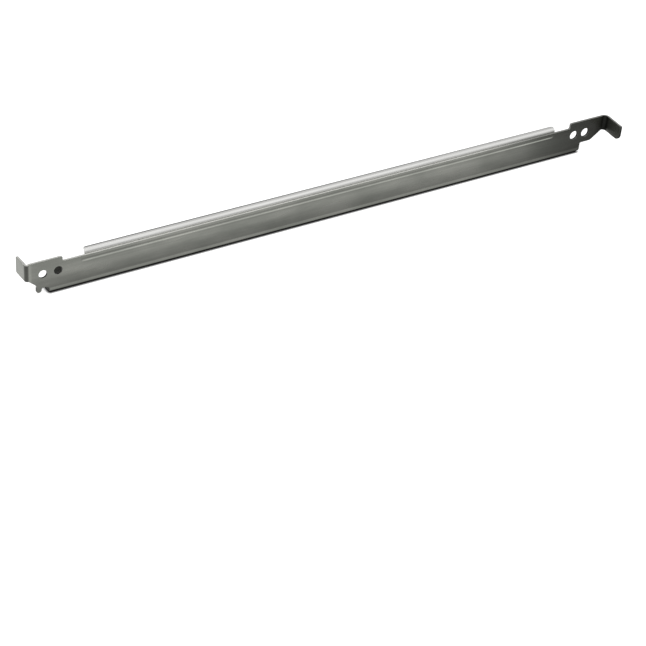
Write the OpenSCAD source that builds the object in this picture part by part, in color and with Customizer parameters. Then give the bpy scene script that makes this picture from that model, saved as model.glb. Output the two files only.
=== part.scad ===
// Toner metering blade for a printer cartridge: a thin spring-steel strip with a
// rolled working edge, spot-welded to the back of a long folded sheet-steel bracket.
// +X runs along the blade, +Y points away from the printed face, +Z is up. The
// bracket stands on its flange, and the origin is under the middle of its box.

/* [Sheet] */
// Thickness of the bracket's steel sheet
sheet_t = 1; // [0.8:0.1:1.4]
// Inside radius of the foot's fold
fold_r = 0.4; // [0.2:0.1:0.8]
// Inside radius of the left tab's sharp fold
fold_r_left = 0.2; // [0.1:0.1:0.6]
// Inside radius of the right tab's wider fold
fold_r_right = 1.4; // [0.8:0.1:1.8]

/* [Web] */
// Distance between the two end folds, along the web's face
web_l = 274.8; // [240:0.1:320]
// Height of the web between the ears
web_h = 12.85; // [11.5:0.05:14]
// Radius of the corners where the web's outline turns
corner_r = 0.7; // [0.3:0.1:1]

/* [Ears] */
// Height of the left ear's top edge
ear_h_left = 14.9; // [14.8:0.1:18]
// Height of the right ear's top edge
ear_h_right = 15.4; // [14.5:0.1:18]
// Length of the left ear, from its fold to the step
ear_l_left = 15.1; // [14.8:0.1:18]
// Length of the right ear, from the step to its fold
ear_l_right = 19.4; // [18:0.1:24]
// Height of the right ear's level lower edge
ear_under = 4.6; // [3:0.1:6]
// Length of the right ear's lower edge that slopes up to the fold
ear_slope_l = 5.4; // [4:0.1:7.5]

/* [Flange] */
// Depth of the flange, from the web's face to its rear edge
flange_d = 14.5; // [10:0.5:20]
// Distance from the left fold to the left end of the web's foot
flange_in_left = 9.5; // [9:0.1:10.8]
// Distance from the right fold to the right end of the web's foot
flange_in_right = 12.4; // [10:0.1:15]
// Distance that each end of the flange is stepped in from the web's foot
flange_step = 1.3; // [0.8:0.1:2]
// Radius of the two lower corners of the web's foot
foot_r = 0.8; // [0.2:0.1:0.8]
// Size of the clipped rear corners of the flange
flange_clip = 8; // [2:0.5:8]

/* [Holes] */
// Diameter of the left ear's holes
hole_d_left = 3.4; // [3:0.1:4.2]
// Diameter of the right ear's holes
hole_d_right = 4; // [3:0.1:4.4]
// Height of the holes above the floor
hole_z = 9.2; // [8.5:0.1:10]
// Distance between the two holes of an ear
hole_pitch = 6.2; // [5:0.1:7]
// Distance from the left fold to the first hole
hole_in_left = 7; // [6:0.1:7.3]
// Distance from the right fold to the last hole
hole_in_right = 10.5; // [9:0.1:12]

/* [Locating peg] */
// Distance from the left fold to the peg's near side
peg_in = 4; // [3.3:0.1:4.4]
// Width of the peg
peg_w = 2.4; // [1.6:0.1:2.6]
// Height of the peg's round end above the floor
peg_z = 1.3; // [0.5:0.1:2]
// Height of the left ear's lower edge where the peg starts
peg_root_z = 4.9; // [4.5:0.1:6]
// Height of the relief notch between the peg and the flange
relief_z = 3.8; // [3.2:0.1:4.2]

/* [End tabs] */
// Height of the left tab's lower edge
tab_under_left = 7.4; // [6.5:0.1:9]
// Length of the left tab beyond its fold
tab_l_left = 7; // [3:0.1:9]
// Height of the left tab's upper edge, a step below the ear's
tab_top_left = 14.5; // [12:0.1:14.5]
// Angle by which the left tab stays short of square
tab_lean_left = 2; // [0:0.5:25]
// Height of the right tab's lower edge
tab_under_right = 8.4; // [8:0.1:10]
// Length of the right tab beyond its fold
tab_l_right = 9.9; // [5:0.1:12]
// Angle by which the right tab is folded past square
tab_over_right = 5; // [0:0.5:8]
// Radius of the right tab's lower free corner
tab_r_right = 3; // [0.5:0.1:3]
// Radius of the tabs' other free corners
tab_r = 0.6; // [0.2:0.1:1.5]

/* [Groove] */
// Width of the coined groove in the web's face
groove_w = 1.4; // [1:0.1:1.6]
// Depth of the groove
groove_depth = 0.25; // [0.15:0.05:0.4]
// Distance from the web's upper edge down to the groove's left end
groove_drop = 1.75; // [1.5:0.05:3]
// Height that the groove gains towards its right end
groove_rise = 0.3; // [0:0.1:0.5]
// Distance from the left fold to the groove's left end
groove_in_left = 22.4; // [20:0.1:30]
// Distance from the right fold to the groove's right end
groove_in_right = 28.5; // [24:0.1:40]

/* [Blade] */
// Thickness of the spring-steel strip
blade_t = 0.15; // [0.1:0.01:0.2]
// Distance from the left fold to the strip's left end
blade_in_left = 24.4; // [19:0.1:35]
// Distance from the right fold to the strip's right end
blade_in_right = 27.1; // [22:0.1:40]
// Height of the strip that lies against the web
blade_lap = 6; // [4:0.5:8]
// Outside radius of the rolled working edge
roll_r = 1.8; // [1:0.1:2.5]
// Angle that the working edge turns through
roll_angle = 100; // [60:5:130]
// Radius of the working edge's two corners
blade_corner_r = 1.4; // [0.5:0.1:1.8]

/* [Hidden] */
$fn = 64;
eps = 0.01;
over = 1;

// Outside radius of the folds
fold_o = fold_r + sheet_t;
fold_o_left = fold_r_left + sheet_t;
fold_o_right = fold_r_right + sheet_t;

// Foot and holes along the web, measured from the left fold
flange_x0 = flange_in_left;
flange_x1 = web_l - flange_in_right;
holes = [
    [hole_in_left, hole_d_left],
    [hole_in_left + hole_pitch, hole_d_left],
    [web_l - hole_in_right - hole_pitch, hole_d_right],
    [web_l - hole_in_right, hole_d_right]
];

// The web's flat ends where the end folds begin
flat_x0 = fold_o_left;
flat_x1 = web_l - fold_r_right;

// Left fold turns back by less than a right angle
turn_left = 90 - tab_lean_left;
tip_x_left = flat_x0 - fold_o_left * sin(turn_left) - tab_l_left * cos(turn_left);

// Right fold turns forward and past square, so its outside is on the web's back
turn_right = 90 + tab_over_right;
x_right = flat_x1 + fold_o_right;
y_front = -fold_r_right - tab_l_right * sin(turn_right) + fold_o_right * cos(turn_right);

// Middle of the box, which becomes the origin
mid_x = (tip_x_left + x_right) / 2;
mid_y = (y_front + flange_d) / 2;

groove_z = web_h - groove_drop;

blade_x0 = blade_in_left;
blade_x1 = web_l - blade_in_right;

// Plate shape drawn in X and Z, with its front face at y = 0
module upright(thickness) {
    translate([0, thickness, 0])
        rotate([90, 0, 0])
            linear_extrude(thickness)
                children();
}

// Section drawn in Y and Z, run along X
module along_x(x0, x1) {
    translate([x0, 0, 0])
        rotate([90, 0, 90])
            linear_extrude(x1 - x0)
                children();
}

// Part of a ring between two angles less than half a turn apart
module ring_part(r_in, r_out, from, to) {
    reach = 4 * r_out;
    mid = (from + to) / 2;
    intersection() {
        difference() {
            circle(r_out);
            circle(r_in);
        }
        polygon([
            [0, 0],
            reach * [cos(from), sin(from)],
            reach * [cos(mid), sin(mid)],
            reach * [cos(to), sin(to)]
        ]);
    }
}

// What a rounded corner removes: corner at the origin, material towards +x and +y
module corner_cut(r) {
    difference() {
        translate([-over, -over])
            square(r + over);
        translate([r, r])
            circle(r);
    }
}

// What fills an inside corner at the origin, open towards +x and +y
module corner_fill(r) {
    difference() {
        translate([-eps, -eps])
            square(r + eps);
        translate([r, r])
            circle(r);
    }
}

// Flat blank of the left ear, with its peg and the relief notch beside it
module left_ear() {
    peg_r = peg_w / 2;
    relief_r = (flange_x0 - peg_in - peg_w) / 2;
    difference() {
        union() {
            polygon([
                [flat_x0, ear_h_left],
                [ear_l_left, ear_h_left],
                [ear_l_left + eps, web_h],
                [flange_x0 + over, web_h],
                [flange_x0 + over, relief_z - relief_r],
                [peg_in + peg_r, relief_z - relief_r],
                [peg_in + peg_r, peg_root_z],
                [peg_in, peg_root_z],
                [flat_x0, tab_under_left]
            ]);
            translate([peg_in, peg_z + peg_r])
                square([peg_w, peg_root_z - peg_z - peg_r]);
            translate([peg_in + peg_r, peg_z + peg_r])
                circle(peg_r);
            translate([ear_l_left, web_h])
                corner_fill(corner_r);
        }
        translate([peg_in + peg_w, -over])
            square([2 * relief_r, relief_z - relief_r + over]);
        translate([peg_in + peg_w + relief_r, relief_z - relief_r])
            circle(relief_r);
        translate([ear_l_left, ear_h_left])
            rotate(180)
                corner_cut(corner_r);
        translate([flat_x0, ear_h_left])
            rotate(-90)
                corner_cut(min(corner_r, ear_h_left - tab_top_left));
    }
}

// Flat blank of the right ear, whose lower edge slopes up to the tab
module right_ear() {
    step_x = web_l - ear_l_right;
    difference() {
        union() {
            polygon([
                [step_x, ear_h_right],
                [flat_x1, ear_h_right],
                [flat_x1, tab_under_right],
                [flat_x1 - ear_slope_l, ear_under],
                [flange_x1 - over, ear_under],
                [flange_x1 - over, web_h],
                [step_x, web_h - eps]
            ]);
            translate([step_x, web_h])
                rotate(90)
                    corner_fill(corner_r);
            translate([flange_x1, ear_under])
                rotate(-90)
                    corner_fill(corner_r);
        }
        translate([step_x, ear_h_right])
            rotate(-90)
                corner_cut(corner_r);
    }
}

module web() {
    upright(sheet_t)
        difference() {
            union() {
                left_ear();
                right_ear();
                translate([flange_x0, fold_o])
                    square([flange_x1 - flange_x0, web_h - fold_o]);
            }
            for (side = [[flange_x0, 0], [flange_x1, 1]])
                translate([side[0], fold_o])
                    mirror([side[1], 0])
                        corner_cut(foot_r);
        }
}

module flange() {
    x0 = flange_x0 + flange_step;
    x1 = flange_x1 - flange_step;
    difference() {
        along_x(x0, x1) {
            translate([fold_o, fold_o])
                ring_part(fold_r, fold_o, 180, 270);
            translate([fold_o, 0])
                square([flange_d - fold_o, sheet_t]);
        }
        for (side = [[x0, 0], [x1, 1]])
            translate([side[0], flange_d, -over])
                mirror([side[1], 0, 0])
                    linear_extrude(sheet_t + 2 * over)
                        polygon([
                            [-over, over],
                            [-over, -flange_clip - over],
                            [flange_clip + over, over]
                        ]);
    }
}

// End tab and its fold, with the fold's axis at the origin and the web arriving from +x
module tab(r_in, length, turn, low, high, r_low, r_high) {
    r_out = r_in + sheet_t;
    difference() {
        translate([0, 0, low])
            linear_extrude(high - low)
                difference() {
                    union() {
                        circle(r_out);
                        rotate(-turn)
                            translate([-length, -r_out])
                                square([length, sheet_t]);
                    }
                    circle(r_in);
                    rotate(-turn)
                        translate([-length - over, -r_in])
                            square([length + over, r_in + r_out + over]);
                    translate([0, -r_out - over])
                        square(2 * (r_out + over));
                }
        for (edge = [[low, 0, r_low], [high, 1, r_high]])
            rotate([0, 0, -turn])
                translate([-length, over - r_in, edge[0]])
                    mirror([0, 0, edge[1]])
                        rotate([90, 0, 0])
                            linear_extrude(sheet_t + 2 * over)
                                corner_cut(edge[2]);
    }
}

module left_tab() {
    translate([flat_x0, fold_o_left, 0])
        tab(fold_r_left, tab_l_left, turn_left, tab_under_left, tab_top_left, tab_r, tab_r);
}

module right_tab() {
    translate([flat_x1, -fold_r_right, 0])
        rotate(180)
            tab(fold_r_right, tab_l_right, turn_right, tab_under_right, ear_h_right, tab_r_right, tab_r);
}

// Round-bottomed groove with round ends, pressed into the face
module groove() {
    ball_r = (pow(groove_w / 2, 2) + pow(groove_depth, 2)) / (2 * groove_depth);
    x0 = groove_in_left + groove_w / 2;
    x1 = web_l - groove_in_right - groove_w / 2;
    run = sqrt(pow(x1 - x0, 2) + pow(groove_rise, 2));
    translate([x0, groove_depth - ball_r, groove_z])
        rotate([0, 90 - atan2(groove_rise, x1 - x0), 0]) {
            cylinder(r = ball_r, h = run);
            sphere(ball_r);
            translate([0, 0, run])
                sphere(ball_r);
        }
}

module bracket() {
    color("#85867e")
        translate([-mid_x, -mid_y, 0])
            difference() {
                union() {
                    web();
                    flange();
                    left_tab();
                    right_tab();
                }
                for (hole = holes)
                    translate([hole[0], -over, hole_z])
                        rotate([-90, 0, 0])
                            cylinder(d = hole[1], h = sheet_t + 2 * over);
                groove();
            }
}

module blade() {
    tip = 180 - roll_angle;
    tip_y = sheet_t + roll_r + roll_r * max(cos(tip), 0);
    color("#c9cac6")
        translate([-mid_x, -mid_y, 0])
            difference() {
                along_x(blade_x0, blade_x1) {
                    translate([sheet_t, web_h - blade_lap])
                        square([blade_t, blade_lap]);
                    translate([sheet_t + roll_r, web_h])
                        ring_part(roll_r - blade_t, roll_r, tip, 180);
                }
                for (side = [[blade_x0, 0], [blade_x1, 1]])
                    translate([side[0], tip_y, web_h])
                        mirror([side[1], 0, 0])
                            mirror([0, 1, 0])
                                linear_extrude(roll_r + over)
                                    corner_cut(blade_corner_r);
            }
}

bracket();
blade();
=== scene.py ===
# Toner metering doctor blade: a folded steel bracket with a rolled spring-steel strip on its back.
# Sizes are in millimetres, as on the part's drawing, until a mesh is finished; Blender works in metres.
import math

import bmesh
import bpy
from mathutils import Matrix, Vector


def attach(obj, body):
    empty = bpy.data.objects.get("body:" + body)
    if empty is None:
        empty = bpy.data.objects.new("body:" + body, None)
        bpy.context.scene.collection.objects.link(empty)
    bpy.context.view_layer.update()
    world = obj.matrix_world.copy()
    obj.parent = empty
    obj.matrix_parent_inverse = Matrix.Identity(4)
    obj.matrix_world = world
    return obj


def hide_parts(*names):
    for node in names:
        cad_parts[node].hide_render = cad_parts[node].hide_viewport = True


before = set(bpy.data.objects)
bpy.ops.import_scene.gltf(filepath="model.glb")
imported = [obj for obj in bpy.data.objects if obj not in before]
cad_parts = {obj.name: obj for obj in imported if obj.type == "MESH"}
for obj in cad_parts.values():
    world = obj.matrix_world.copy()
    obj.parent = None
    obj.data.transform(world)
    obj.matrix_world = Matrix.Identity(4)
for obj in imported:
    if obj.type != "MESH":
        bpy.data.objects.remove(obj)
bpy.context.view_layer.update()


# BRACKET
# One piece of 1 mm cold-rolled steel sheet, zinc plated, stamped to a flat blank and then folded:
# a flange turns back along the foot, the left tab turns back and the right tab turns forward.
# The punch leaves a crisp edge on the front of every cut and a soft rolled-in one on the back.
sheet_t = 1.0
fold_in = 0.4
fold_out = fold_in + sheet_t
fold_in_left = 0.2
fold_out_left = fold_in_left + sheet_t
fold_in_right = 1.4
fold_out_right = fold_in_right + sheet_t
web_l = 274.8
web_h = 12.85
corner_r = 0.7
ear_h_left = 14.9
ear_h_right = 15.4
ear_l_left = 15.1
ear_l_right = 19.4
ear_end_r_left = 0.3
ear_under = 4.6
ear_slope_l = 5.4
ear_slope_r = 2.5
flange_d = 14.5
foot_left = 9.5
foot_right = web_l - 12.4
foot_drop_right = 0.1
foot_r_right = 0.6
flange_clip = 8.0
flange_clip_r = 0.6
foot_trim = 0.9
foot_trim_r = 0.3
hole_z = 9.2
holes = ((7.0, 1.7), (13.2, 1.7), (web_l - 16.7, 2.0), (web_l - 10.5, 2.0))
peg_in = 4.3
peg_w = 2.1
peg_z = 1.3
peg_tip_r = peg_w / 2 - 0.04
peg_root_z = 4.7
peg_root_r = 1.4
relief_z = 3.1
relief_r_peg = 0.72
relief_r_foot = 1.45
tab_root_r = 1.2
tab_under_left = 7.4
tab_top_left = 14.5
tab_step_r_left = 0.08
tab_l_left = 7.0
tab_lean_left = 2.0
tab_under_right = 8.4
tab_l_right = 9.9
tab_over_right = 5.0
tab_r_right = 3.0
tab_r = 0.6
groove_w = 1.4
groove_z = web_h - 1.75
groove_rise = 0.3
groove_left = 22.4
groove_right = web_l - 28.5
groove_depth = 0.25
groove_wall_w = 0.66
groove_low = 0.17
front_edge_r = 0.12
back_edge_r = 0.28

# Where the folds start, how much sheet each one takes up, and where the blank's ends come out
flat_left = fold_out_left
flat_right = web_l - fold_in_right
turn_left = math.radians(90 - tab_lean_left)
turn_right = math.radians(90 + tab_over_right)
bend_left = turn_left * (fold_in_left + sheet_t / 2)
bend_right = turn_right * (fold_in_right + sheet_t / 2)
bend_foot = math.pi / 2 * (fold_in + sheet_t / 2)
blank_left = flat_left - bend_left - tab_l_left
blank_right = flat_right + bend_right + tab_l_right
blank_rear = 2 * fold_out - bend_foot - flange_d

# The middle of the part's box is the row's origin
tip_left = flat_left - fold_out_left * math.sin(turn_left) - tab_l_left * math.cos(turn_left)
tip_front = fold_out_right * math.cos(turn_right) - tab_l_right * math.sin(turn_right) - fold_in_right
box_middle = Vector(((tip_left + web_l + sheet_t) / 2, (tip_front + flange_d) / 2, 0))


def cut_outline(corners):
    """Points of a die-cut outline: each corner (x, z, radius) becomes an arc of short straight cuts."""
    arc_step = math.radians(9)
    shortest_cut = 0.002
    points = []
    for i, (x, z, radius) in enumerate(corners):
        here = Vector((x, z))
        back = (Vector(corners[i - 1][:2]) - here).normalized()
        front_painted_shade = (Vector(corners[(i + 1) % len(corners)][:2]) - here).normalized()
        half = back.angle(front_painted_shade) / 2
        centre = here + (back + front_painted_shade).normalized() * radius / math.sin(half)
        arm = here + back * radius / math.tan(half) - centre
        turn = math.copysign(math.pi - 2 * half, -back.cross(front_painted_shade))
        steps = max(2, math.ceil(abs(turn) / arc_step))
        for k in range(steps + 1):
            points.append(centre + Matrix.Rotation(turn * k / steps, 2) @ arm)
    return [p for i, p in enumerate(points) if (p - points[i - 1]).length > shortest_cut]


def round_hole(x, z, radius, steps=40):
    """Points of a punched hole, run the other way round so that the sheet stays on the left."""
    turns = [-2 * math.pi * k / steps for k in range(steps)]
    return [Vector((x + radius * math.cos(a), z + radius * math.sin(a))) for a in turns]


def add_ring(bm, facing, points):
    """A closed ring of vertices from (place, normal) pairs."""
    ring = []
    for place, normal in points:
        vert = bm.verts.new(place)
        vert[facing] = normal
        ring.append(vert)
    return ring


def join_rings(bm, first, second, finishes):
    """A band of faces between two rings of the same count, each with its own material."""
    for i in range(len(first)):
        face = bm.faces.new((first[i - 1], first[i], second[i], second[i - 1]))
        face.material_index = finishes[i]


def ring_edges(bm, ring):
    """The edges round a ring, made where they are missing."""
    edges = []
    for i in range(len(ring)):
        ends = (ring[i - 1], ring[i])
        edges.append(bm.edges.get(ends) or bm.edges.new(ends))
    return edges


def stamp(loops, thickness, front_r, back_r, shaded_wall, pressed_front=(), pressed_back=()):
    """A flat stamped plate, front face at y = 0: rounded cut edges, and marks pressed into either face.
    Each pressed mark is a list of rings from its rim inwards. Every vertex keeps its own true normal.
    The wall test says where the cut wall takes the dark copy of the cut steel, painted shade (material 2),
    and not the bright one (1)."""
    bm = bmesh.new()
    facing = bm.verts.layers.float_vector.new("facing")
    # Inset from the cut, depth, and the normal's share outwards and through the sheet
    turns = [math.radians(a) for a in (0, 30, 60, 90)]
    section = []
    for a in turns:
        section.append((front_r * (1 - math.sin(a)), front_r * (1 - math.cos(a)),
                        math.sin(a), -math.cos(a)))
    for a in reversed(turns):
        section.append((back_r * (1 - math.sin(a)), thickness - back_r * (1 - math.cos(a)),
                        math.sin(a), math.cos(a)))
    # The straight wall, and the last strip of the rounding on each side of it
    wall_bands = (2, 3, 4)
    sharpest = 0.4
    front = []
    back = []
    for loop in loops:
        insides = []
        for i, here in enumerate(loop):
            arrive = (here - loop[i - 1]).normalized()
            leave = (loop[(i + 1) % len(loop)] - here).normalized()
            inside = Vector((-arrive.y - leave.y, arrive.x + leave.x)).normalized()
            insides.append((inside, 1 / max(sharpest, inside.dot(Vector((-arrive.y, arrive.x))))))
        rings = []
        for inset, depth, out, through in section:
            points = []
            for here, (inside, stretch) in zip(loop, insides):
                spot = here + inside * inset * stretch
                points.append(((spot.x, depth, spot.y), (-inside.x * out, through, -inside.y * out)))
            rings.append(add_ring(bm, facing, points))
        walls = [2 if shaded_wall(here.x, here.y) else 1 for here in loop]
        for k in range(len(rings) - 1):
            join_rings(bm, rings[k], rings[k + 1], walls if k in wall_bands else [0] * len(loop))
        front += ring_edges(bm, rings[0])
        back += ring_edges(bm, rings[-1])
    for marks, edges in ((pressed_front, front), (pressed_back, back)):
        for mark in marks:
            rings = [add_ring(bm, facing, points) for points in mark]
            for k in range(len(rings) - 1):
                join_rings(bm, rings[k], rings[k + 1], [0] * len(rings[k]))
            bm.faces.new(rings[-1])
            edges += ring_edges(bm, rings[0])
    bmesh.ops.triangle_fill(bm, use_beauty=True, edges=front, normal=(0, -1, 0))
    bmesh.ops.triangle_fill(bm, use_beauty=True, edges=back, normal=(0, 1, 0))
    bmesh.ops.recalc_face_normals(bm, faces=bm.faces)
    return bm, facing


def score(bm, normal, places):
    """Cuts the flat plate's faces across at each place, so that it can bend smoothly there."""
    for place in places:
        geom = bm.verts[:] + bm.edges[:] + bm.faces[:]
        bmesh.ops.bisect_plane(bm, geom=geom, dist=1e-5, plane_co=place, plane_no=normal)


def unroll_map(bm):
    """Keeps the flat blank's own x and z, in metres, as the map that the rolling grain follows."""
    layer = bm.loops.layers.uv.new("blank")
    for face in bm.faces:
        for loop in face.loops:
            loop[layer].uv = (loop.vert.co.x / 1000, loop.vert.co.z / 1000)


def finished_piece(bm, facing, name, materials):
    """Moves the folded plate into the row's frame, in metres, and makes its object."""
    for vert in bm.verts:
        vert.co = (vert.co - box_middle) / 1000
    bmesh.ops.triangulate(bm, faces=[f for f in bm.faces if len(f.verts) > 4])
    bm.verts.index_update()
    normals = [vert[facing].normalized() for vert in bm.verts]
    bm.verts.layers.float_vector.remove(facing)
    mesh = bpy.data.meshes.new(name)
    bm.to_mesh(mesh)
    bm.free()
    for material in materials:
        mesh.materials.append(material)
    for polygon in mesh.polygons:
        polygon.use_smooth = True
    mesh.normals_split_custom_set_from_vertices(normals)
    piece = bpy.data.objects.new(name, mesh)
    bpy.context.collection.objects.link(piece)
    return piece


def groove_rings():
    """The coined groove: rings of a long stadium, with a long upper slope and a short steep lower wall."""
    ends = (Vector((groove_left + groove_w / 2, groove_z)),
            Vector((groove_right - groove_w / 2, groove_z + groove_rise)))
    lie = math.atan2(groove_rise, (ends[1] - ends[0]).x)
    # Half width, how deep it is sunk, and the share of the wall's slope that its normal takes
    section = ((0.74, 0, 0), (0.68, 0.01, 1), (0.52, 0.08, 1),
               (0.30, 0.165, 1), (0.12, 0.235, 0.8), (0.04, groove_depth, 0))
    rings = []
    for half, sink, sloped in section:
        ring = []
        for end, start in ((ends[0], 90), (ends[1], -90)):
            for k in range(13):
                a = math.radians(start + 15 * k) + lie
                out = Vector((math.cos(a), math.sin(a)))
                spot = end + out * half - Vector((0, groove_low * sink / groove_depth))
                tilt = sloped * math.sin(math.atan2(groove_depth, groove_wall_w + groove_low * out.y))
                normal = (-out.x * tilt, -math.sqrt(1 - tilt ** 2), -out.y * tilt)
                ring.append(((spot.x, sink, spot.y), normal))
        rings.append(ring)
    return rings


# Painted shade on cut walls: round the holes, along the foot and at the right tab's end the walls take the
# dark copy of the cut steel; the other walls take the bright one
shade_round_hole = 0.3
shade_foot_z = relief_z + 0.2
shade_tab_x = flat_right + bend_right + 1.5


def cut_in_painted_shade(x, z):
    """Whether the cut wall at this place takes the dark cut-steel finish, painted shade."""
    for hole_x, radius in holes:
        if (x - hole_x) ** 2 + (z - hole_z) ** 2 < (radius + shade_round_hole) ** 2:
            return True
    return z < shade_foot_z or x > shade_tab_x


step_right = web_l - ear_l_right
blank_outline = cut_outline([
    (blank_left, tab_under_left, tab_r),
    (flat_left, tab_under_left, tab_root_r),
    (peg_in, peg_root_z, peg_root_r),
    (peg_in, peg_z, peg_tip_r),
    (peg_in + peg_w, peg_z, peg_tip_r),
    (peg_in + peg_w, relief_z, relief_r_peg),
    (foot_left, relief_z, relief_r_foot),
    (foot_left, blank_rear + flange_clip, flange_clip_r),
    (foot_left + flange_clip, blank_rear, flange_clip_r),
    (foot_right - flange_clip, blank_rear, flange_clip_r),
    (foot_right - foot_trim, blank_rear + flange_clip, flange_clip_r),
    (foot_right - foot_trim, fold_out - foot_trim, foot_trim_r),
    (foot_right, fold_out - foot_drop_right, foot_r_right),
    (foot_right, ear_under, corner_r),
    (flat_right - ear_slope_l, ear_under, ear_slope_r),
    (flat_right, tab_under_right, tab_root_r),
    (blank_right, tab_under_right, tab_r_right),
    (blank_right, ear_h_right, tab_r),
    (step_right, ear_h_right, corner_r),
    (step_right, web_h, corner_r),
    (ear_l_left, web_h, corner_r),
    (ear_l_left, ear_h_left, corner_r),
    (flat_left, ear_h_left, ear_end_r_left),
    (flat_left, tab_top_left, tab_step_r_left),
    (blank_left, tab_top_left, tab_r),
])
bracket_bm, bracket_facing = stamp(
    [blank_outline] + [round_hole(x, hole_z, radius) for x, radius in holes],
    sheet_t, front_edge_r, back_edge_r, cut_in_painted_shade, pressed_front=[groove_rings()])
foot_scores = 9
left_scores = 8
right_scores = 19
score(bracket_bm, (0, 0, 1),
      [(0, 0, fold_out - bend_foot * k / foot_scores) for k in range(foot_scores + 1)])
score(bracket_bm, (1, 0, 0),
      [(flat_left - bend_left * k / left_scores, 0, 0) for k in range(left_scores + 1)])
score(bracket_bm, (1, 0, 0),
      [(flat_right + bend_right * k / right_scores, 0, 0) for k in range(right_scores + 1)])
unroll_map(bracket_bm)

# The peg stays flat: what folds at the foot starts in the middle of the relief notch
relief_middle = peg_in + peg_w + (foot_left - peg_in - peg_w) / 2
for vert in bracket_bm.verts:
    x, y, z = vert.co
    if x < flat_left:
        past, bend, turn, axis = flat_left - x, bend_left, -turn_left, "Z"
        pivot = Vector((flat_left, fold_out_left, z))
        arm = Vector((-max(past - bend, 0), y - fold_out_left, 0))
    elif x > flat_right:
        past, bend, turn, axis = x - flat_right, bend_right, -turn_right, "Z"
        pivot = Vector((flat_right, -fold_in_right, z))
        arm = Vector((max(past - bend, 0), y + fold_in_right, 0))
    elif z < fold_out and x > relief_middle:
        past, bend, turn, axis = fold_out - z, bend_foot, math.pi / 2, "X"
        pivot = Vector((x, fold_out, fold_out))
        arm = Vector((0, y - fold_out, -max(past - bend, 0)))
    else:
        continue
    turned = Matrix.Rotation(turn * min(past / bend, 1), 3, axis)
    vert.co = pivot + turned @ arm
    vert[bracket_facing] = turned @ vert[bracket_facing]


def linear(hex_colour):
    """An sRGB hex colour as linear red, green, blue and alpha."""
    parts = [int(hex_colour[i:i + 2], 16) / 255 for i in (1, 3, 5)]
    return [c / 12.92 if c <= 0.04045 else ((c + 0.055) / 1.055) ** 2.4 for c in parts] + [1.0]


def grey(level):
    """A plain linear grey, as a factor on a ramp."""
    return (level, level, level, 1.0)


def metal(name):
    """A new metal finish: its material, its node tree, and the shader that the nodes lead to."""
    material = bpy.data.materials.new(name)
    material.use_nodes = True
    surface = material.node_tree.nodes["Principled BSDF"]
    surface.inputs["Metallic"].default_value = 1.0
    return material, material.node_tree, surface


def add(tree, kind, values=None, links=None, stops=(), **settings):
    """Adds one node with its settings, the values of its sockets, the links into it, and a ramp's stops."""
    node = tree.nodes.new(kind)
    for name, value in settings.items():
        setattr(node, name, value)
    for socket, value in (values or {}).items():
        node.inputs[socket].default_value = value
    for socket, source in (links or {}).items():
        tree.links.new(source, node.inputs[socket])
    if stops:
        marks = node.color_ramp.elements
        marks[0].position, marks[0].color = stops[0]
        marks[1].position, marks[1].color = stops[-1]
        for place, colour in stops[1:-1]:
            marks.new(place).color = colour
    return node


# Zinc plate on rolled sheet: a satin grey metal, faintly green, with rolling lines along the sheet and
# cloudy dull patches from handling; painted shade and painted highlights lie at the folds, the foot, the
# groove's lip and the lower web
zinc, tree, surface = metal("zinc_plated_rolled_sheet")
on_blank = add(tree, "ShaderNodeUVMap", uv_map="blank").outputs["UV"]
blank_parts = add(tree, "ShaderNodeSeparateXYZ", links={"Vector": on_blank})
along = blank_parts.outputs["X"]
up = blank_parts.outputs["Y"]
# Rolling lines are about 0.1 mm apart, too fine to show, so they are drawn 0.7 mm apart and 60 mm long
line_l = 0.060
line_gap = 0.0007
line_place = add(tree, "ShaderNodeMapping", {"Scale": (1 / line_l, 1 / line_gap, 1)}, {"Vector": on_blank})
lines = add(tree, "ShaderNodeTexNoise", {"Scale": 1.0, "Detail": 3.0, "Roughness": 0.6},
            {"Vector": line_place.outputs["Vector"]}, noise_dimensions="2D")
# Plating clouds are about 26 mm long and 9 mm high, drawn out along the sheet
cloud_l = 0.026
cloud_h = 0.009
cloud_place = add(tree, "ShaderNodeMapping", {"Scale": (1 / cloud_l, 1 / cloud_h, 1)}, {"Vector": on_blank})
clouds = add(tree, "ShaderNodeTexNoise", {"Scale": 1.0, "Detail": 4.0, "Roughness": 0.55},
             {"Vector": cloud_place.outputs["Vector"]}, noise_dimensions="2D")
# Spangle of the plating, about 0.9 mm
spangle_w = 0.0009
spangle = add(tree, "ShaderNodeTexNoise", {"Scale": 1 / spangle_w, "Detail": 2.0},
              {"Vector": on_blank}, noise_dimensions="2D")
cloud_tone = add(tree, "ShaderNodeValToRGB", links={"Fac": clouds.outputs["Fac"]},
                 stops=[(0.32, linear("#80827c")), (0.68, linear("#92938d"))])
line_tone = add(tree, "ShaderNodeMapRange",
                {"From Min": 0.3, "From Max": 0.7, "To Min": 0.95, "To Max": 1.04},
                {"Value": lines.outputs["Fac"]})
toned = add(tree, "ShaderNodeVectorMath",
            links={0: cloud_tone.outputs["Color"], 1: line_tone.outputs["Result"]}, operation="MULTIPLY")
# Painted shade and painted highlight at the left tab's sharp fold: a dark line 1 mm wide, with a bright
# line beside it
at_left_fold = add(tree, "ShaderNodeMapRange", {"From Min": -0.0003, "From Max": 0.0027}, {"Value": along})
left_fold_painted_light = add(tree, "ShaderNodeValToRGB", links={"Fac": at_left_fold.outputs["Result"]}, stops=[
    (0.0, grey(1.0)), (0.17, grey(0.35)), (0.43, grey(0.35)),
    (0.60, grey(1.25)), (0.80, grey(1.2)), (1.0, grey(1.0))])
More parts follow.
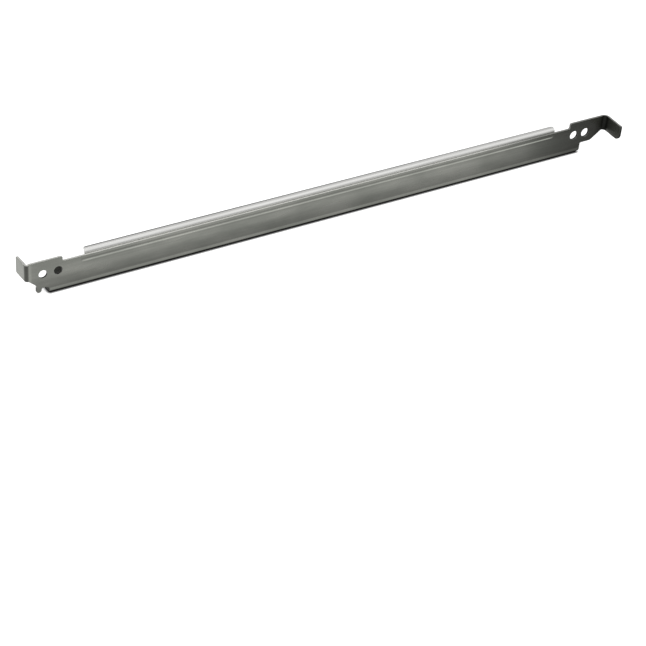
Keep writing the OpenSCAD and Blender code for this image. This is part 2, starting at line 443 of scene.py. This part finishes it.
# Painted shade round the wide right fold, from 4 mm before the fold to 1 mm after it
shade_before_fold = 4
shade_after_fold = 1
fold_shade_l = shade_before_fold + bend_right + shade_after_fold
fold_shade_start = flat_right - shade_before_fold
at_right_fold = add(tree, "ShaderNodeMapRange",
                    {"From Min": fold_shade_start / 1000, "From Max": (fold_shade_start + fold_shade_l) / 1000},
                    {"Value": along})
right_fold_painted_shade = add(tree, "ShaderNodeValToRGB", links={"Fac": at_right_fold.outputs["Result"]}, stops=[
    (0.0, grey(1.0)), (3.8 / fold_shade_l, grey(0.45)), (4.8 / fold_shade_l, grey(0.24)), (5.4 / fold_shade_l, grey(0.14)),
    (6.4 / fold_shade_l, grey(0.14)), ((4.2 + bend_right) / fold_shade_l, grey(0.4)), (1.0, grey(0.9))])
folds_painted_light = add(tree, "ShaderNodeMath",
              links={0: left_fold_painted_light.outputs["Color"], 1: right_fold_painted_shade.outputs["Color"]},
              operation="MULTIPLY")
# Painted shade: the lower part of the sheet is darker, blending to its own tone between 5.5 and 8 mm up
lower_web_painted_shade = add(tree, "ShaderNodeMapRange",
               {"From Min": 0.0055, "From Max": 0.0080, "To Min": 0.84, "To Max": 1.0}, {"Value": up})
# Painted highlight: a bright line 1.3 mm wide along the foot
up_foot = add(tree, "ShaderNodeMapRange", {"From Min": 0.0008, "From Max": 0.0026}, {"Value": up})
foot_painted_highlight = add(tree, "ShaderNodeValToRGB", links={"Fac": up_foot.outputs["Result"]}, stops=[
    (0.0, grey(1.0)), (0.25, grey(1.8)), (0.67, grey(1.8)), (1.0, grey(1.0))])
on_foot = add(tree, "ShaderNodeMapRange",
              {"From Min": foot_left / 1000, "From Max": foot_left / 1000 + 0.0004}, {"Value": along})
foot_highlight_line = add(tree, "ShaderNodeMix", {"A": 1.0},
                {"Factor": on_foot.outputs["Result"], "B": foot_painted_highlight.outputs["Color"]})
lower_web_painted_light = add(tree, "ShaderNodeMath",
              links={0: lower_web_painted_shade.outputs["Result"], 1: foot_highlight_line.outputs["Result"]}, operation="MULTIPLY")
# Painted highlight along the groove's lower lip, 0.5 mm below the groove's middle, over a fine line of
# painted shade
lip_drop = 0.5
groove_slope = groove_rise / (groove_right - groove_left)
lip_z = (groove_z - lip_drop - groove_slope * groove_left) / 1000
level_z = add(tree, "ShaderNodeMath", {1: -groove_slope}, {0: along, 2: up}, operation="MULTIPLY_ADD")
at_lip = add(tree, "ShaderNodeMapRange", {"From Min": lip_z - 0.0011, "From Max": lip_z + 0.0004},
             {"Value": level_z.outputs["Value"]})
groove_lip_painted_light = add(tree, "ShaderNodeValToRGB", links={"Fac": at_lip.outputs["Result"]}, stops=[
    (0.0, grey(1.0)), (0.27, grey(0.88)), (0.48, grey(1.0)), (0.72, grey(1.65)), (1.0, grey(1.0))])
along_groove = add(tree, "ShaderNodeMapRange",
                   {"From Min": groove_left / 1000, "From Max": groove_right / 1000}, {"Value": along})
on_lip = add(tree, "ShaderNodeValToRGB", links={"Fac": along_groove.outputs["Result"]}, stops=[
    (0.001, grey(0.0)), (0.009, grey(1.0)), (0.991, grey(1.0)), (0.999, grey(0.0))])
lip = add(tree, "ShaderNodeMix", {"A": 1.0},
          {"Factor": on_lip.outputs["Color"], "B": groove_lip_painted_light.outputs["Color"]})
web_painted_light = add(tree, "ShaderNodeMath",
           links={0: lower_web_painted_light.outputs["Value"], 1: lip.outputs["Result"]}, operation="MULTIPLY")
painted_light_marks = add(tree, "ShaderNodeMath",
             links={0: folds_painted_light.outputs["Value"], 1: web_painted_light.outputs["Value"]}, operation="MULTIPLY")
zinc_colour_with_painted_light = add(tree, "ShaderNodeVectorMath",
              links={0: toned.outputs["Vector"], 1: painted_light_marks.outputs["Value"]}, operation="MULTIPLY")
tree.links.new(zinc_colour_with_painted_light.outputs["Vector"], surface.inputs["Base Color"])
# Satin, duller in the clouds, with the spangle and the rolling lines as a very slight relief
dullness = add(tree, "ShaderNodeMath", {1: 0.12, 2: 0.20}, {0: clouds.outputs["Fac"]},
               operation="MULTIPLY_ADD")
tree.links.new(dullness.outputs["Value"], surface.inputs["Roughness"])
relief = add(tree, "ShaderNodeMath", {1: 0.35}, {0: spangle.outputs["Fac"], 2: lines.outputs["Fac"]},
             operation="MULTIPLY_ADD")
surface_bump = add(tree, "ShaderNodeBump", {"Strength": 0.12, "Distance": 0.00002},
                   {"Height": relief.outputs["Value"]})
tree.links.new(surface_bump.outputs["Normal"], surface.inputs["Normal"])

# Sheared edge: bare cut steel, burnished by the punch, so brighter than the plating; it goes on the cut
# walls that face the light, and a dark copy painted into shade goes on the rest
sheared, tree, surface = metal("sheared_steel_edge")
edge_place = add(tree, "ShaderNodeTexCoord").outputs["Object"]
# Tear marks of the punch, about 0.4 mm apart
tear_gap = 0.0004
tears = add(tree, "ShaderNodeTexNoise", {"Scale": 1 / tear_gap, "Detail": 2.0}, {"Vector": edge_place})
edge_tone = add(tree, "ShaderNodeValToRGB", links={"Fac": tears.outputs["Fac"]},
                stops=[(0.3, linear("#d0d0cc")), (0.7, linear("#e3e3df"))])
# Painted shade: towards the right end the edge is darkened, down to 0.45 of its tone
edge_parts = add(tree, "ShaderNodeSeparateXYZ", links={"Vector": edge_place})
edge_painted_shade_right = add(tree, "ShaderNodeMapRange",
          {"From Min": 0.070, "From Max": 0.100, "To Min": 1.0, "To Max": 0.45},
          {"Value": edge_parts.outputs["X"]})
edge_with_painted_shade = add(tree, "ShaderNodeVectorMath",
           links={0: edge_tone.outputs["Color"], 1: edge_painted_shade_right.outputs["Result"]}, operation="MULTIPLY")
tree.links.new(edge_with_painted_shade.outputs["Vector"], surface.inputs["Base Color"])
surface.inputs["Roughness"].default_value = 0.58
edge_bump = add(tree, "ShaderNodeBump", {"Strength": 0.3, "Distance": 0.00003},
                {"Height": tears.outputs["Fac"]})
tree.links.new(edge_bump.outputs["Normal"], surface.inputs["Normal"])

# Painted shade on cut walls: a dark copy of the bare cut steel, rough and grainy
shaded_cut_edge, tree, surface = metal("cut_steel_painted_shade")
break_place = add(tree, "ShaderNodeTexCoord").outputs["Object"]
# Grains of the dark cut wall are about 0.05 mm, too fine to show, so they are drawn 0.25 mm across
grain_w = 0.00025
grains = add(tree, "ShaderNodeTexNoise", {"Scale": 1 / grain_w, "Detail": 3.0, "Roughness": 0.65},
             {"Vector": break_place})
shaded_edge_tone = add(tree, "ShaderNodeValToRGB", links={"Fac": grains.outputs["Fac"]},
                 stops=[(0.3, linear("#333332")), (0.7, linear("#444443"))])
tree.links.new(shaded_edge_tone.outputs["Color"], surface.inputs["Base Color"])
surface.inputs["Roughness"].default_value = 0.5
break_bump = add(tree, "ShaderNodeBump", {"Strength": 0.35, "Distance": 0.00003},
                 {"Height": grains.outputs["Fac"]})
tree.links.new(break_bump.outputs["Normal"], surface.inputs["Normal"])

bracket = finished_piece(bracket_bm, bracket_facing, "folded_bracket", [zinc, sheared, shaded_cut_edge])
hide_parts("bracket")
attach(bracket, "root")


# BLADE
# A strip of hardened spring steel 0.15 mm thick, cut with two round corners, rolled back along its
# working edge and spot-welded flat to the back of the web. The welds leave a row of small dents.
blade_t = 0.15
blade_left = 24.4
blade_right = web_l - 27.1
blade_lap = 6.0
roll_r = 1.8
roll_angle = math.radians(100)
blade_corner_r = 1.4
blade_foot_r = 0.4
blade_edge_r = 0.03
weld_pitch = 8.0
weld_clear = 8
weld_r = 0.6
weld_depth = 0.04
weld_drop = 2.6
# Share of the weld's radius, share of its depth, and the tilt of its normal
weld_section = ((1.15, 0, 0), (0.95, 0.15, 0.09), (0.7, 0.6, 0.12), (0.4, 0.95, 0.06), (0.15, 1, 0))

bend_roll = roll_angle * (roll_r - blade_t / 2)
blade_outline = cut_outline([
    (blade_left, -blade_lap, blade_foot_r),
    (blade_right, -blade_lap, blade_foot_r),
    (blade_right, bend_roll, blade_corner_r),
    (blade_left, bend_roll, blade_corner_r),
])
weld_count = int((blade_right - blade_left - weld_clear) / weld_pitch) + 1
weld_start = (blade_left + blade_right - (weld_count - 1) * weld_pitch) / 2
weld_marks = []
for i in range(weld_count):
    x = weld_start + i * weld_pitch
    mark = []
    for share, sunk, tilt in weld_section:
        ring = []
        for k in range(18):
            out = Vector((math.cos(math.radians(20 * k)), math.sin(math.radians(20 * k))))
            spot = Vector((x, -weld_drop)) + out * weld_r * share
            normal = (-out.x * tilt, 1, -out.y * tilt)
            ring.append(((spot.x, blade_t - weld_depth * sunk, spot.y), normal))
        mark.append(ring)
    weld_marks.append(mark)
blade_bm, blade_facing = stamp([blade_outline], blade_t, blade_edge_r, blade_edge_r,
                               lambda x, z: False, pressed_back=weld_marks)
roll_scores = 24
score(blade_bm, (0, 0, 1), [(0, 0, bend_roll * k / roll_scores) for k in range(roll_scores)])
unroll_map(blade_bm)

for vert in blade_bm.verts:
    x, y, z = vert.co
    turned = Matrix.Rotation(-roll_angle * max(z, 0) / bend_roll, 3, "X")
    vert.co = Vector((x, sheet_t + roll_r, web_h + min(z, 0))) + turned @ Vector((0, y - roll_r, 0))
    vert[blade_facing] = turned @ vert[blade_facing]

# Polished spring steel: a bright, nearly white metal with faint lengthwise polishing lines, so that the
# roll carries one clear highlight from end to end
spring, tree, surface = metal("polished_spring_steel")
on_blank = add(tree, "ShaderNodeUVMap", uv_map="blank").outputs["UV"]
# Polishing lines are a few hundredths of a millimetre apart, drawn 0.3 mm apart so that they show
polish_l = 0.045
polish_gap = 0.0003
polish_place = add(tree, "ShaderNodeMapping", {"Scale": (1 / polish_l, 1 / polish_gap, 1)},
                   {"Vector": on_blank})
polish = add(tree, "ShaderNodeTexNoise", {"Scale": 1.0, "Detail": 2.0, "Roughness": 0.5},
             {"Vector": polish_place.outputs["Vector"]}, noise_dimensions="2D")
polish_tone = add(tree, "ShaderNodeValToRGB", links={"Fac": polish.outputs["Fac"]},
                  stops=[(0.3, linear("#c4c4c2")), (0.7, linear("#d4d4d2"))])
tree.links.new(polish_tone.outputs["Color"], surface.inputs["Base Color"])
polish_dull = add(tree, "ShaderNodeMath", {1: 0.12, 2: 0.17}, {0: polish.outputs["Fac"]},
                  operation="MULTIPLY_ADD")
tree.links.new(polish_dull.outputs["Value"], surface.inputs["Roughness"])
polish_bump = add(tree, "ShaderNodeBump", {"Strength": 0.15, "Distance": 0.00001},
                  {"Height": polish.outputs["Fac"]})
tree.links.new(polish_bump.outputs["Normal"], surface.inputs["Normal"])

blade = finished_piece(blade_bm, blade_facing, "rolled_blade", [spring, spring])
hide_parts("blade")
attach(blade, "root")


# TABLE AND LIGHT
# A sheet of matt white paper in a plain studio: the front of the room is bright and the back is dim,
# one soft lamp hangs over the left end, and the glow of the paper that the metal mirrors is painted
# darker round the right end, so the metal darkens there.
paper_half = 4.0
paper_gap = 0.00003
paper_bm = bmesh.new()
bmesh.ops.create_grid(paper_bm, x_segments=2, y_segments=2, size=paper_half)
paper_mesh = bpy.data.meshes.new("paper_sweep")
paper_bm.to_mesh(paper_mesh)
paper_bm.free()
paper = bpy.data.objects.new("paper_sweep", paper_mesh)
paper.location = (0, 0, -paper_gap)
bpy.context.collection.objects.link(paper)

# Matt white paper: it takes the part's shadow and a painted contact shadow, shows white to the eye, and
# gives the metal a painted glow to mirror
white_paper = bpy.data.materials.new("matt_white_paper")
white_paper.use_nodes = True
tree = white_paper.node_tree
tree.nodes.remove(tree.nodes["Principled BSDF"])
path = add(tree, "ShaderNodeLightPath")
# Painted contact shadow: an occlusion mask darkens the paper's colour and glow for about a millimetre round
# the touching foot
near = add(tree, "ShaderNodeAmbientOcclusion", {"Distance": 0.0011}, samples=12)
foot_painted_shadow = add(tree, "ShaderNodeMath", {1: 3.0}, {0: near.outputs["AO"]}, operation="POWER")
paper_tone = add(tree, "ShaderNodeVectorMath", {0: linear("#e6e6e6")[:3]}, {1: foot_painted_shadow.outputs["Value"]},
                 operation="MULTIPLY")
sheet = add(tree, "ShaderNodeBsdfDiffuse", links={"Color": paper_tone.outputs["Vector"]})
eye = add(tree, "ShaderNodeMath",
          links={0: path.outputs["Is Camera Ray"], 1: path.outputs["Is Transmission Ray"]},
          operation="MAXIMUM")
eye_level = add(tree, "ShaderNodeMath", {1: 0.5}, {0: eye.outputs["Value"]}, operation="MULTIPLY")
eye_glow = add(tree, "ShaderNodeMath",
               links={0: eye_level.outputs["Value"], 1: foot_painted_shadow.outputs["Value"]}, operation="MULTIPLY")
glow = add(tree, "ShaderNodeEmission", links={"Strength": eye_glow.outputs["Value"]})
seen = add(tree, "ShaderNodeAddShader", links={0: sheet.outputs["BSDF"], 1: glow.outputs["Emission"]})
# What the metal mirrors: the paper's glow, with painted shade beside the foot, around the right end and
# towards the front, and a painted pool of light in one patch behind the left end
place = add(tree, "ShaderNodeTexCoord").outputs["Object"]
shade_middle = (0.150, -0.012, 0)
patch_middle = (-0.150, 0.022, 0)
wide = add(tree, "ShaderNodeAmbientOcclusion", {"Distance": 0.012}, samples=12)
foot_painted_shade_wide = add(tree, "ShaderNodeMath", {1: 1.25}, {0: wide.outputs["AO"]}, operation="POWER")
from_right = add(tree, "ShaderNodeVectorMath", {1: shade_middle}, {0: place}, operation="DISTANCE")
fall = add(tree, "ShaderNodeMapRange", {"From Min": 0.0, "From Max": 0.1},
           {"Value": from_right.outputs["Value"]})
paper_painted_shade_right = add(tree, "ShaderNodeValToRGB", links={"Fac": fall.outputs["Result"]}, stops=[
    (0.08, grey(0.11)), (0.25, grey(0.28)), (0.37, grey(0.46)), (0.52, grey(0.75)), (0.77, grey(1.0))])
from_left = add(tree, "ShaderNodeVectorMath", {1: patch_middle}, {0: place}, operation="DISTANCE")
paper_painted_light_patch = add(tree, "ShaderNodeMapRange",
            {"From Min": 0.020, "From Max": 0.035, "To Min": 0.10, "To Max": 0.0},
            {"Value": from_left.outputs["Value"]})
mirrored = add(tree, "ShaderNodeMath",
               links={0: paper_painted_shade_right.outputs["Color"], 1: paper_painted_light_patch.outputs["Result"]}, operation="ADD")
place_parts = add(tree, "ShaderNodeSeparateXYZ", links={"Vector": place})
front_painted_shade = add(tree, "ShaderNodeMapRange",
            {"From Min": -0.02, "From Max": -0.06, "To Min": 1.0, "To Max": 0.55},
            {"Value": place_parts.outputs["Y"]})
beside = add(tree, "ShaderNodeMath",
             links={0: mirrored.outputs["Value"], 1: foot_painted_shade_wide.outputs["Value"]}, operation="MULTIPLY")
under = add(tree, "ShaderNodeMath",
            links={0: beside.outputs["Value"], 1: foot_painted_shadow.outputs["Value"]}, operation="MULTIPLY")
metal_level = add(tree, "ShaderNodeMath",
                  links={0: under.outputs["Value"], 1: front_painted_shade.outputs["Result"]}, operation="MULTIPLY")
painted_reflection_glow = add(tree, "ShaderNodeEmission", links={"Strength": metal_level.outputs["Value"]})
both = add(tree, "ShaderNodeMixShader", links={
    0: path.outputs["Is Glossy Ray"], 1: seen.outputs["Shader"], 2: painted_reflection_glow.outputs["Emission"]})
tree.links.new(both.outputs["Shader"], tree.nodes["Material Output"].inputs["Surface"])
paper_mesh.materials.append(white_paper)

room = bpy.data.worlds.new("studio_room")
room.use_nodes = True
bpy.context.scene.world = room
tree = room.node_tree
light_in = tree.nodes["Background"]
light_in.inputs["Color"].default_value = linear("#ffffff")
aim = add(tree, "ShaderNodeTexCoord").outputs["Generated"]
aim_parts = add(tree, "ShaderNodeSeparateXYZ", links={"Vector": aim})
depth = add(tree, "ShaderNodeMapRange", {"From Min": -1.0, "From Max": 1.0},
            {"Value": aim_parts.outputs["Y"]})
room_tone = add(tree, "ShaderNodeValToRGB", links={"Fac": depth.outputs["Result"]}, stops=[
    (0.325, grey(1.25)), (0.475, grey(0.9)), (0.75, grey(0.85)), (0.825, grey(0.75))])
# The back of the room is a little dimmer on the left and on the right
across = add(tree, "ShaderNodeMapRange", {"From Min": -1.0, "From Max": 1.0},
             {"Value": aim_parts.outputs["X"]})
side = add(tree, "ShaderNodeValToRGB", links={"Fac": across.outputs["Result"]}, stops=[
    (0.475, grey(0.8)), (0.625, grey(1.0)), (0.70, grey(1.0)), (0.81, grey(0.8))])
behind = add(tree, "ShaderNodeMapRange", {"From Min": 0.1, "From Max": 0.5},
             {"Value": aim_parts.outputs["Y"]})
corner = add(tree, "ShaderNodeMix", {"A": 1.0},
             {"Factor": behind.outputs["Result"], "B": side.outputs["Color"]})
toned = add(tree, "ShaderNodeMath",
            links={0: room_tone.outputs["Color"], 1: corner.outputs["Result"]}, operation="MULTIPLY")
# A dark doorway at the back, which the flange mirrors behind the second hole
door_aim = (0.346, 0.757, 0.553)
door_dark = math.cos(math.radians(10))
door_edge = math.cos(math.radians(16))
to_door = add(tree, "ShaderNodeVectorMath", {1: door_aim}, {0: aim}, operation="DOT_PRODUCT")
door = add(tree, "ShaderNodeMapRange",
           {"From Min": door_edge, "From Max": door_dark, "To Min": 1.0, "To Max": 0.0},
           {"Value": to_door.outputs["Value"]})
# The walls are dimmer near the floor
skirting = add(tree, "ShaderNodeMapRange",
               {"From Min": 0.05, "From Max": 0.45, "To Min": 0.62, "To Max": 1.0},
               {"Value": aim_parts.outputs["Z"]})
walls = add(tree, "ShaderNodeMath",
            links={0: toned.outputs["Value"], 1: skirting.outputs["Result"]}, operation="MULTIPLY")
dim = add(tree, "ShaderNodeMath",
          links={0: walls.outputs["Value"], 1: door.outputs["Result"]}, operation="MULTIPLY")
# The eye sees the room as plain white
path = add(tree, "ShaderNodeLightPath")
shown = add(tree, "ShaderNodeMix", {"B": 1.0},
            {"Factor": path.outputs["Is Camera Ray"], "A": dim.outputs["Value"]})
tree.links.new(shown.outputs["Result"], light_in.inputs["Strength"])

lamp_data = bpy.data.lights.new("soft_lamp", "AREA")
lamp_data.shape = "RECTANGLE"
lamp_data.size = 0.5
lamp_data.size_y = 0.4
lamp_data.energy = 1.0
lamp = bpy.data.objects.new("soft_lamp", lamp_data)
lamp.location = (-0.18, -0.10, 0.62)
lamp.rotation_euler = (Vector((0, 0, 0)) - lamp.location).to_track_quat("-Z", "Y").to_euler()
bpy.context.collection.objects.link(lamp)


# CAMERA
# A long lens above the left front, looking down the blade. Its place and turn were fitted to the holes,
# ends and corners in the photograph; the place is in millimetres from the blank's own zero.
camera_data = bpy.data.cameras.new("camera")
camera_data.sensor_width = 36.0
camera_data.lens = 101.018
camera = bpy.data.objects.new("camera", camera_data)
camera.location = (Vector((-222.982, -516.559, 386.087)) - box_middle) / 1000
camera.rotation_euler = [math.radians(a) for a in (54.9834, -4.0769, -31.8382)]
bpy.context.collection.objects.link(camera)
bpy.context.scene.camera = camera
bpy.context.scene.view_settings.view_transform = "Standard"
